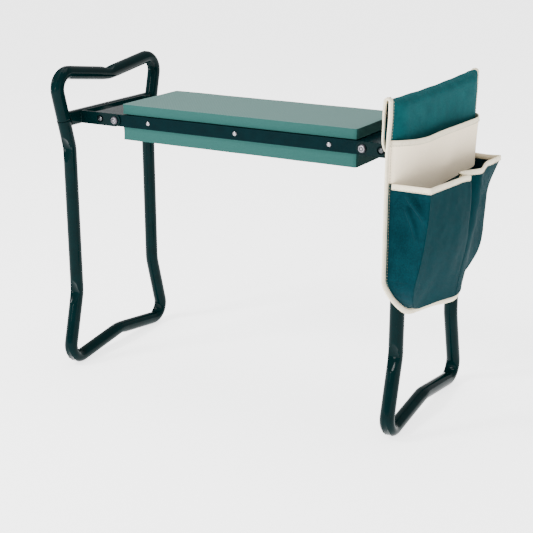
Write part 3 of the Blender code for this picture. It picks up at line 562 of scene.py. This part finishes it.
def build_pad(node, top_side):
    """Closed-cell foam slab: cut sides that bow a little, soft rims, one ribbed face."""
    low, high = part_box(node)
    half_x = (high.x - low.x) / 2
    half_y = (high.y - low.y) / 2
    thick = high.z - low.z
    nx = 60 * FINE
    ny = 22 * FINE
    nz = 7
    verts = []
    index = {}

    def place(i, j, k):
        key = (i, j, k)
        if key in index:
            return index[key]
        u = 2 * i / nx - 1
        v = 2 * j / ny - 1
        w = 2 * k / nz - 1
        x = math.copysign(abs(u) ** 0.92, u) * half_x
        y = math.copysign(abs(v) ** 0.92, v) * half_y
        z = math.copysign(abs(w) ** 0.8, w) * thick / 2
        ex = max(0.0, abs(x) - (half_x - PAD_ROUND)) / PAD_ROUND
        ey = max(0.0, abs(y) - (half_y - PAD_ROUND)) / PAD_ROUND
        corner = math.hypot(ex, ey)
        if corner > 1:
            x -= math.copysign(PAD_ROUND * (ex - ex / corner), x)
            y -= math.copysign(PAD_ROUND * (ey - ey / corner), y)
        edge = max(ex, ey)
        rim = 0.0007 * edge ** 3
        z -= math.copysign(rim, w) if abs(w) > 0.99 else 0.0
        bulge = 0.0005 * (1 - w * w)
        wave = 0.0004 * drift(x, y, z, 0.055, 3.0)
        if ex >= 1:
            x += math.copysign(bulge + wave - 0.0006, x)
        if ey >= 1:
            y += math.copysign(bulge + wave - 0.0006, y)
        if w * top_side > 0.99:
            z += 0.00025 * drift(x, y, 0.0, 0.05, 1.0) - 0.0002
        index[key] = len(verts)
        verts.append(Vector((x + (low.x + high.x) / 2, y, z + (low.z + high.z) / 2)))
        return index[key]

    faces = []
    for i in range(nx):
        for j in range(ny):
            for k in (0, nz):
                faces.append((place(i, j, k), place(i + 1, j, k), place(i + 1, j + 1, k), place(i, j + 1, k)))
    for i in range(nx):
        for k in range(nz):
            for j in (0, ny):
                faces.append((place(i, j, k), place(i + 1, j, k), place(i + 1, j, k + 1), place(i, j, k + 1)))
    for j in range(ny):
        for k in range(nz):
            for i in (0, nx):
                faces.append((place(i, j, k), place(i, j + 1, k), place(i, j + 1, k + 1), place(i, j, k + 1)))
    pad = make(node + "_look", verts, faces, FOAM_SIDE_SHADED, 40)
    pad.data.materials.append(FOAM_TOP_LIT)
    # The ribbed face takes the lighter foam copy (painted light). The other faces take the darker one
    # (painted shade).
    for face in pad.data.polygons:
        if face.normal.z * top_side > 0.9:
            face.material_index = 1
    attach(pad, body_name(node))
    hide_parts(node)


def build_crown(node):
    """Turned face of a pivot bolt's head: a rim, a groove darkened with painted shade, and a shallow dome."""
    low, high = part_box(node)
    out = -1 if low.y < 0 else 1
    face = low.y if out < 0 else high.y
    centre = Vector(((low.x + high.x) / 2, face, (low.z + high.z) / 2))
    profile = [(0.0001, 0.0008), (0.0010, 0.0007), (0.0018, 0.0003), (0.0021, -0.0004), (0.0034, -0.0004),
               (0.0036, 0.0004), (0.0043, 0.0003), (0.0046, -0.0006)]
    rings = []
    for radius, rise in profile:
        ring = [Vector((radius * math.cos(a), out * rise, radius * math.sin(a))) for a in turns(40)]
        rings.append([centre + point for point in ring])
    crown = loft(node + "_crown", rings, PLATED, sharp=50)
    # The groove's faces take near-black steel: painted shade in the recess.
    crown.data.materials.append(GROOVE_SHADE)
    for face in crown.data.polygons:
        off = math.hypot(face.center.x - centre.x, face.center.z - centre.z)
        if GROOVE_SHADE_INNER < off < GROOVE_SHADE_OUTER and len(face.vertices) == 4:
            face.material_index = 1
    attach(crown, body_name(node))


def build_fixings():
    """Rivets, bolts with crowns, nuts and buttons, and springs with a mesh of their own."""
    for node in sorted(frame["nodes"]):
        if node.startswith("pivot_bolt"):
            build_crown(node)
        if node.startswith("rivet_"):
            dressed(node, PLATED, 0.0003, 40)
        elif node.startswith("pivot_"):
            dressed(node, BOLT, 0.0003, 40)
        elif node.startswith("lock_button"):
            dressed(node, BUTTON, 0.0002, 40)
        elif node.startswith("button_spring"):
            spring = dressed(node, SPRING, 0)
            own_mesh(spring)


# ------------------------------------------------------------------ tool bag
HALF = TAPE_HIGH.y
BOTTOM = TAPE_LOW.z
FACE_X = LEG_X + 0.0133
SADDLE_R = 0.0119
SADDLE_Z = HANDLE_HIGH.z + 0.0013 - SADDLE_R
MID_LOW, MID_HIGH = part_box("bag_mid_pocket")
POCKET_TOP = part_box("bag_pocket_binding")[1].z
CORNER = 0.075
CORNER_RISE = 0.066
CORNER_POWER = 1.55
FLAP_HALF = 0.141
FLAP_LOW = 0.4157
FLAP_CORNER = 0.025
TAPE_W = 0.0085
CLOTH = 0.0013
CURL_WIDTH = 0.046
BELLY_Y = 0.009
BELLY_RISE = 0.095
FOLD_START = 0.136
SEAM_INSET = 0.0098  # the lower pocket is sewn on this far in from the panel's edge
BAG_BODY = body_name("bag_panel")


def curl(y, z=0.40):
    """How far the free side edges turn back toward the frame; more below the saddle."""
    share = max(0.0, abs(y) - (HALF - CURL_WIDTH)) / CURL_WIDTH
    below = ease((SADDLE_Z - z) / 0.070)
    most = 0.0135 + 0.0025 * below if y > 0 else 0.0112 + 0.0030 * below
    return -most * share * share


def bow(y, z):
    """How far the bottom of the bag stands out, most at the middle."""
    reach = 0.080 if y > BELLY_Y else 0.118
    middle = max(0.0, 1 - ((y - BELLY_Y) / reach) ** 2) ** 1.5
    down = max(0.0, min(1.0, (BOTTOM + BELLY_RISE - z) / BELLY_RISE))
    return 0.0290 * middle * down * down


def lift(y):
    """The bottom edge hangs a little higher at the front than at the back."""
    return -0.0006 + 0.0065 * ease((0.012 - y) / 0.07)


def lower_edge(y, inset):
    """Height of the panel's rounded bottom edge."""
    over = (abs(y) - (HALF - CORNER)) / (CORNER - inset)
    rise = 0.0
    if over > 0:
        rise = 1 - max(0.0, 1 - min(1.0, over) ** CORNER_POWER) ** (1 / CORNER_POWER)
    return BOTTOM + lift(y) + inset + (CORNER_RISE - inset) * rise


def flap_edge(y, inset):
    """Height of the flap's bottom edge behind the bar."""
    over = abs(y) - (FLAP_HALF - FLAP_CORNER)
    low = FLAP_LOW + inset
    if over > 0:
        radius = FLAP_CORNER - inset
        low = FLAP_LOW + FLAP_CORNER - math.sqrt(max(0.0, radius * radius - over * over))
    return low + 0.0088 * ease((0.118 - abs(y)) / 0.022)


def fold(y):
    """Half height of the cloth's fold over the bar, and the height of its middle."""
    share = ease((abs(y) - FOLD_START) / (HALF - FOLD_START))
    rise = 0.0128 if y < 0 else 0.0100
    slack = 0.0014 * max(0.0, 1 - (y / 0.105) ** 2)
    return SADDLE_R + (0.0028 - SADDLE_R) * share, SADDLE_Z + rise * share - slack


def pucker(y, z):
    """Soft unevenness of hanging canvas, stronger low down and near the seams."""
    wide = 0.0011 * drift(0.0, y, z, 0.075, 5.0)
    small = 0.00035 * drift(0.0, y, z, 0.022, 9.0)
    pull = 0.0009 * math.exp(-((SADDLE_Z - z) / 0.020) ** 2) * math.sin(y * 130 + 2 * drift(0, y, 0, 0.05, 2))
    down = SADDLE_Z - z
    crease = -0.0022 * math.exp(-((y - 0.028 + 0.25 * down) / 0.0055) ** 2) * math.exp(-(down / 0.020) ** 2)
    tuck = -0.0024 * math.exp(-((y - 0.150 + 0.9 * down) / 0.0060) ** 2) * math.exp(-(down / 0.022) ** 2)
    return wide + small + pull + crease + tuck


def cloth_line(s, inset, flap_rows, saddle_rows, panel_rows):
    """One line of the cloth at share s of its half width, from the flap's edge over the bar to the bottom."""
    wide = s * (HALF - inset)
    narrow = s * (FLAP_HALF - inset)
    low = flap_edge(narrow, inset)
    radius, axis = fold(wide)
    face = FACE_X + curl(wide, axis)
    start = LEG_X - SADDLE_R - 0.0002
    across = max(radius, (face - start) / 2 * ease((HALF + 0.002 - abs(wide)) / 0.022))
    points = []
    for k in range(flap_rows):
        t = k / flap_rows
        y = narrow + (wide - narrow) * t ** 1.4
        z = low + (axis - low) * t
        x = start + (face - 2 * across - start) * t ** 1.6
        x -= 0.0006 * min(1.0, 6 * (1 - t)) + 0.0020 * (1 - t) ** 2
        points.append(Vector((x + 0.35 * pucker(y, z), y, z)))
    for k in range(saddle_rows + 1):
        a = math.pi * (1 - k / saddle_rows)
        droop = -0.0003 * (1 + math.sin(wide * 96)) * math.sin(a) * ease((0.130 - abs(wide)) / 0.02)
        height = axis + radius * math.sin(a) + droop
        points.append(Vector((face - across + across * math.cos(a), wide, height)))
    end = lower_edge(wide, inset)
    for k in range(1, panel_rows + 1):
        t = k / panel_rows
        z = axis + (end - axis) * t
        hidden = 1.0 if z > MID_HIGH.z else 0.25
        ease_in = ease(t * 9)
        sway = FACE_X + curl(wide, z) + bow(wide, z)
        points.append(Vector((sway + hidden * ease_in * pucker(wide, z), wide, z)))
    return points


def spaced(count):
    """Shares from -1 to 1, closer together toward the ends."""
    return [math.sin(math.pi / 2 * (2 * k / (count - 1) - 1)) for k in range(count)]


def finish_piece(piece, nodes=()):
    """Ride on the bag's body and stand for CAD nodes."""
    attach(piece, BAG_BODY)
    if nodes:
        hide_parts(*nodes)
    return piece


def tape(name, spine, thick, nodes, closed=False):
    """Woven tape with rounded edges along (point, normal, across)."""
    section = []
    for k in range(10):
        a = 2 * math.pi * (k + 0.5) / 10
        c = math.cos(a)
        n = math.sin(a)
        flat = math.copysign(abs(c) ** 0.45, c) * TAPE_W / 2
        section.append((flat, math.copysign(abs(n) ** 0.8, n) * thick / 2))
    rings = []
    for point, normal, across in spine:
        wobble = 0.00018 * drift(point.x, point.y, point.z, 0.012, 4.0)
        rings.append([point + across * (w + wobble) + normal * t for w, t in section])
    piece = loft(name, rings, TAPE, closed, 50)
    return finish_piece(piece, nodes)


def stitches(name, run, pitch=0.0042, length=0.0026, radius=0.00034):
    """A row of short thread stitches lying on a tape, along (point, normal)."""
    verts = []
    faces = []
    walked = 0.0
    due = 0.0
    for (p0, n0), (p1, n1) in zip(run, run[1:]):
        gap = (p1 - p0).length
        while due <= walked + gap:
            t = (due - walked) / max(gap, 1e-9)
            middle = p0.lerp(p1, t)
            normal = n0.lerp(n1, t).normalized()
            along = (p1 - p0).normalized()
            side = along.cross(normal).normalized()
            base = len(verts)
            for m in range(5):
                f = m / 4 - 0.5
                raised = radius * (0.9 - 3.0 * f * f)
                r = radius * (1.0 - 0.5 * abs(2 * f) ** 3)
                centre = middle + along * (f * length) + normal * raised
                for a in turns(6):
                    verts.append(centre + side * (r * math.cos(a)) + normal * (r * math.sin(a)))
            for m in range(4):
                ring = base + m * 6
                for q in range(6):
                    w = (q + 1) % 6
                    faces.append((ring + q, ring + w, ring + 6 + w, ring + 6 + q))
            faces.append(tuple(base + q for q in range(6)))
            faces.append(tuple(base + 24 + q for q in range(6)))
            due += pitch
        walked += gap
    return finish_piece(make(name, verts, faces, THREAD, 60))


def edge_run(inset):
    """Closed run of points round the panel at an inset from its edge."""
    lines = [cloth_line(s, inset, 8, 10, 26) for s in spaced(81)]
    flap = [line[0] for line in lines]
    bottom = [line[-1] for line in lines]
    return flap + lines[-1][1:] + bottom[-2::-1] + lines[0][-2:0:-1]


def framed(run, outward):
    """(point, normal, across) along a closed run."""
    spine = []
    count = len(run)
    for i, point in enumerate(run):
        along = (run[(i + 1) % count] - run[i - 1]).normalized()
        normal = outward(point)
        across = along.cross(normal).normalized()
        spine.append((point, across.cross(along).normalized(), across))
    return spine


def panel_out(point):
    """Outward direction of the cloth at a point on it."""
    radius, axis = fold(point.y)
    half = max(radius, (FACE_X - LEG_X + SADDLE_R) / 2) if abs(point.y) < 0.13 else radius
    middle = FACE_X + curl(point.y) - half
    if point.z >= axis:
        return Vector((point.x - middle, 0.0, point.z - axis + 1e-5)).normalized()
    return Vector((1.0 if point.x > middle else -1.0, 0.0, 0.0))


def build_panel():
    """The bag's main cloth, saddled over the handle bar, with the tape round its whole edge."""
    count = 49 * FINE
    lines = [cloth_line(s, 0.0030, 9 * FINE, 9 * FINE, 40 * FINE) for s in spaced(count)]
    panel = cloth_sheet("bag_panel_look", lines, CLOTH, GREEN)
    finish_piece(panel, ["bag_panel"])
    spine = [(p + n * 0.0004, n, a) for p, n, a in framed(edge_run(TAPE_W / 2), panel_out)]
    edging = tape("bag_panel_tape", spine, 0.0040, ["bag_panel_binding"], closed=True)
    inner = framed(edge_run(TAPE_W * 0.80), panel_out)
    run = [(p + n * 0.0024, n) for p, n, _ in inner]
    sewn = stitches("bag_panel_stitches", run + run[:1])


def mid_top(y):
    """Height of the cream pocket's mouth, lower toward the back."""
    share = (y + HALF) / (2 * HALF)
    return MID_HIGH.z + TAPE_W - 0.0125 * share + 0.0012 * math.sin(y * 34 + 1.0) - 0.0012


def mid_point(y, z):
    """A point of the cream pocket, which gapes a little at its mouth."""
    half = HALF - TAPE_W * 0.7
    top = mid_top(y)
    rise = max(0.0, min(1.0, (z - MID_LOW.z) / (top - MID_LOW.z)))
    power = 5.0 if y < 0 else 2.0
    open_by = 0.0125 * (1 - min(1.0, abs(y) / half) ** power) * rise ** 1.5
    open_by += 0.0016 * rise * math.sin(y * 46 + 0.6) * (1 - (y / half) ** 2)
    out = ease((half - abs(y)) / (TAPE_W * 0.8))
    x = FACE_X + 0.0008 + 0.0022 * out + curl(y, z) + out * open_by + 0.5 * out * abs(pucker(y, z))
    return Vector((x, y, z))


def build_mid_pocket():
    """Cream pocket, drawn in below the lower pocket's mouth so that it stays inside it."""
    half = HALF - TAPE_W * 0.7
    lines = []
    for s in spaced(45 * FINE):
        y = s * half
        top = mid_top(y) - 0.002
        rows = 20 * FINE
        line = []
        for k in range(rows + 1):
            z = MID_LOW.z + (top - MID_LOW.z) * k / rows
            line.append(mid_point(y * (1 - 0.055 * ease((pocket_top(y) + 0.001 - z) / 0.004)), z))
        lines.append(line)
    pocket = cloth_sheet("bag_mid_pocket_look", lines, 0.0012, CREAM)
    finish_piece(pocket, ["bag_mid_pocket"])
    spine = []
    run = []
    for s in spaced(90):
        y = s * half
        here = mid_point(y, mid_top(y) - TAPE_W / 2)
        ahead = mid_point(y + 0.001, mid_top(y + 0.001) - TAPE_W / 2)
        along = (ahead - here).normalized()
        normal = along.cross(Vector((0, 0, 1))).normalized()
        spine.append((here, normal, normal.cross(along).normalized()))
        low = mid_point(y, mid_top(y) - TAPE_W * 0.84)
        run.append((low + normal * 0.0014, normal))
    edging = tape("bag_mid_tape", spine, 0.0027, ["bag_mid_pocket_binding"])
    sewn = stitches("bag_mid_stitches", run)


POCKET_HALF = HALF - 0.0082
HEM = 0.0015  # the mouth tape stands this far above the cloth's edge


def pocket_top(y):
    """Height of the lower pocket's mouth, lower toward the back and at the pleat."""
    share = (y + HALF) / (2 * HALF)
    return POCKET_TOP - 0.018 * share - 0.0035 * math.exp(-((y + 0.010) / 0.020) ** 2)


def fall_of(z):
    """Share of the way down the lower pocket."""
    return max(0.0, min(1.0, (POCKET_TOP - z) / (POCKET_TOP - BOTTOM)))


def pocket_depth(y, z):
    """How far the lower pocket stands off the panel, without its belly and pleat."""
    fall = fall_of(z)
    side = (1 - 0.82 * fall ** 1.9) * (1 - 0.9 * fall ** 8)
    side *= 1 - 0.72 * ease(y / 0.105) * (0.40 + 0.60 * ease(fall / 0.4))
    side *= 1 - 0.055 * ease(-(y + 0.04) / 0.12)
    return 0.0035 * (1 - fall ** 5) + 0.0462 * side + 0.0006


def notch(y):
    """Plan shape of the inward pleat at the middle of the mouth, 0 to 1."""
    if y < -0.006:
        return ease((y + 0.0200) / 0.0140)
    return 1 - ease((y + 0.006) / 0.038)


def front_x(y, z):
    """Pocket front with its pleat at the middle seam, slack folds and a full belly."""
    fall = fall_of(z)
    full = 0.0085 * max(0.0, 1 - (y / POCKET_HALF) ** 2) * max(0.0, math.sin(math.pi * fall))
    pleat = 0.0270 * notch(y) * max(0.0, 1 - fall * 1.6) ** 1.6
    seam = 0.0022 * math.exp(-(y / 0.006) ** 2) * (1 - fall)
    near = ease((y + POCKET_HALF) / 0.03)
    slack = near * (0.0016 * drift(0.0, y, z * 0.4, 0.045, 12.0) + 0.0005 * drift(0.0, y, z, 0.018, 15.0))
    slack *= ease((POCKET_HALF - abs(y)) / 0.02)
    far = 0.0030 * ease(y / 0.08) * math.exp(-((fall - 0.80) / 0.13) ** 2)
    outward = bow(y, z) + pocket_depth(y, z) + full + far + slack * (1 - fall ** 6)
    return FACE_X + CLOTH + outward - pleat - seam


def build_pocket_front():
    """Front cloth of the lower pocket, drawn in to the panel at its bottom edge."""
    rows = 40 * FINE
    lines = []
    for s in spaced(61 * FINE):
        y = s * POCKET_HALF
        low = lower_edge(y, SEAM_INSET)
        top = pocket_top(y) - HEM
        heights = [low + (top - low) * k / rows for k in range(rows + 1)]
        lines.append([Vector((front_x(y, z), y, z)) for z in heights])
    front = cloth_sheet("bag_pocket_front_look", lines, CLOTH, GREEN_FRONT_SHADED)
    finish_piece(front, ["bag_pocket_front"])
    return front


def gusset_outline():
    """(y, z) round the pocket from the front mouth corner, under, to the back one."""
    top_a = pocket_top(-POCKET_HALF) - HEM
    top_b = pocket_top(POCKET_HALF) - HEM
    knee_a = lower_edge(-POCKET_HALF, SEAM_INSET)
    knee_b = lower_edge(POCKET_HALF, SEAM_INSET)
    count = 24 * FINE
    run = [(-POCKET_HALF, top_a + (knee_a - top_a) * k / count) for k in range(count)]
    for k in range(4 * count):
        y = -POCKET_HALF * math.cos(math.pi * k / (4 * count))
        run.append((y, lower_edge(y, SEAM_INSET)))
    run += [(POCKET_HALF, knee_b + (top_b - knee_b) * k / count) for k in range(count + 1)]
    return run


def gusset_point(y, z, t):
    """Point of the side strip at share t of the way from the panel to the pocket's front."""
    base = FACE_X + 0.0012 + curl(y, z) + bow(y, z)
    tip = front_x(y, z) - 0.0004
    fall = max(0.0, pocket_top(y) - z) / (POCKET_TOP - BOTTOM)
    hump = math.sin(math.pi * t)
    x = base + (tip - base) * t
    if abs(y) < POCKET_HALF - 0.03:
        return Vector((x, y, z + 0.001 * hump))
    inward = -1.0 if y > 0 else 1.0
    deep = 0.0080 * hump * math.sin(math.pi * min(1.0, fall * 1.5)) ** 2
    ridge_at = 0.28 + 3.1 * fall
    ridge = 0.0115 * math.exp(-((t - ridge_at) / 0.10) ** 2)
    ridge *= ease((fall - 0.045) / 0.05) * ease((0.32 - fall) / 0.10)
    second_at = 0.42 + 1.5 * (fall - 0.14)
    second = 0.0060 * math.exp(-((t - second_at) / 0.07) ** 2)
    ridge += second * ease((fall - 0.13) / 0.05) * ease((0.40 - fall) / 0.10)
    if y > 0:
        ridge *= 0.3
    ripple = 0.0026 * drift(x, y * 0.3, z, 0.024, 7.0) + 0.0009 * drift(x, y, z, 0.010, 3.0)
    ripple *= hump * ease((fall - 0.04) / 0.1)
    slack = 0.0018 * hump * ease((0.12 - fall) / 0.12)
    return Vector((x, y + inward * (deep - ridge * hump + ripple + slack), z - 0.4 * slack))


def build_gusset():
    """Side strip from the panel to the pocket's front, creased where it folds inward."""
    cols = 16 * FINE
    lines = [[gusset_point(y, z, k / cols) for k in range(cols + 1)] for y, z in gusset_outline()]
    side = cloth_sheet("bag_gusset_look", lines, CLOTH, GREEN_SIDE_SHADED)
    finish_piece(side, ["bag_pocket_gusset"])
    return side


def build_mouth_tape():
    """Tape round the lower pocket's mouth: out along one gusset, across the front, back along the other."""
    rim = []
    for side in (-1, 1):
        y = side * POCKET_HALF
        z = pocket_top(y) - TAPE_W / 2
        rim.append([gusset_point(y, z, 0.05 + 0.95 * k / 16) for k in range(16)])
    front = []
    for s in spaced(150):
        y = s * POCKET_HALF
        z = pocket_top(y) - TAPE_W / 2
        front.append(Vector((front_x(y, z), y, z)))
    run = rim[0] + front + rim[1][::-1]
    for _ in range(2):
        inner = [(a + b * 2 + c) / 4 for a, b, c in zip(run, run[1:], run[2:])]
        run = [run[0]] + inner + [run[-1]]
    spine = []
    for i, point in enumerate(run):
        along = (run[min(len(run) - 1, i + 1)] - run[max(0, i - 1)]).normalized()
        normal = along.cross(Vector((0, 0, 1))).normalized()
        spine.append((point, normal, normal.cross(along).normalized()))
    edging = tape("bag_pocket_tape", spine, 0.0033, ["bag_pocket_binding"])
    sewn = stitches("bag_pocket_stitches", [(p - a * TAPE_W * 0.34 + n * 0.0015, n) for p, n, a in spine])
    return edging, sewn


def build_seams():
    """Doubled stitching down the pocket's middle seam."""
    runs = []
    for n, y in enumerate((-0.0012, 0.0012)):
        run = []
        for k in range(90):
            z = pocket_top(y) - 0.010 - (pocket_top(y) - 0.022 - BOTTOM) * k / 89
            run.append((Vector((front_x(y, z) + 0.0007, y, z)), Vector((1, 0, 0))))
        runs.append(stitches("bag_middle_seam_%d" % n, run, 0.0038, 0.0024, 0.00022))
        # Thread in the pocket front's darker copy of the green canvas, with its painted shade.
        runs[-1].data.materials[0] = GREEN_FRONT_SHADED
    return runs


def build_bag():
    """The whole tool bag."""
    build_panel()
    build_mid_pocket()
    front = build_pocket_front()
    gusset = build_gusset()
    mouth, mouth_sewn = build_mouth_tape()
    seams = build_seams()


# ------------------------------------------------------------------ floor, light and camera
def stage():
    """Pale floor and an even white surround."""
    floor_mat = Look("floor_white", (0.86, 0.86, 0.86), 0.95, specular=0.0)
    floor_mat.shader.inputs["Emission Color"].default_value = (1.0, 1.0, 1.0, 1.0)
    floor_mat.shader.inputs["Emission Strength"].default_value = 2.5
    half = 60
    corners = [(-half, -half, -0.0006), (half, -half, -0.0006), (half, half, -0.0006), (-half, half, -0.0006)]
    floor = make("floor", corners, [(0, 1, 2, 3)], floor_mat.mat)
    world = bpy.data.worlds.new("studio")
    world.use_nodes = True
    back = world.node_tree.nodes["Background"]
    back.inputs["Color"].default_value = (1.0, 1.0, 1.0, 1.0)
    back.inputs["Strength"].default_value = 1.15
    bpy.context.scene.world = world


def area_light(name, place, aim, size, long, power):
    """A soft rectangular lamp, size by long metres, aimed at a point."""
    data = bpy.data.lights.new(name, "AREA")
    data.energy = power
    data.size = size
    data.shape = "RECTANGLE"
    data.size_y = long
    lamp = bpy.data.objects.new(name, data)
    lamp.location = place
    lamp.rotation_euler = (Vector(aim) - Vector(place)).to_track_quat("-Z", "Y").to_euler()
    bpy.context.scene.collection.objects.link(lamp)


def camera():
    """The photograph's viewing angle."""
    data = bpy.data.cameras.new("camera")
    data.lens = 79.32
    data.sensor_width = 36
    data.shift_x = 0.00094
    data.shift_y = -0.00094
    view = bpy.data.objects.new("camera", data)
    view.location = (0.8921, -1.5397, 0.7500)
    view.rotation_euler = (math.radians(90 - 17.688), 0, math.radians(29.742))
    bpy.context.scene.collection.objects.link(view)
    bpy.context.scene.camera = view


build_leg_frames()
build_seat_frame()
build_pad("top_pad", 1)
build_pad("bottom_pad", -1)
build_fixings()
build_bag()
stage()
camera()
area_light("key", (-1.2, -1.6, 2.2), (0.0, 0.0, 0.3), 0.5, 0.7, 66)
area_light("front", (-0.75, -2.6, 0.85), (0.0, 0.0, 0.25), 0.6, 0.9, 48)
area_light("fill", (2.4, -1.2, 1.3), (0.0, 0.0, 0.3), 0.8, 1.6, 8)
area_light("top", (0.2, 0.6, 2.6), (0.0, 0.0, 0.3), 1.6, 1.2, 26)
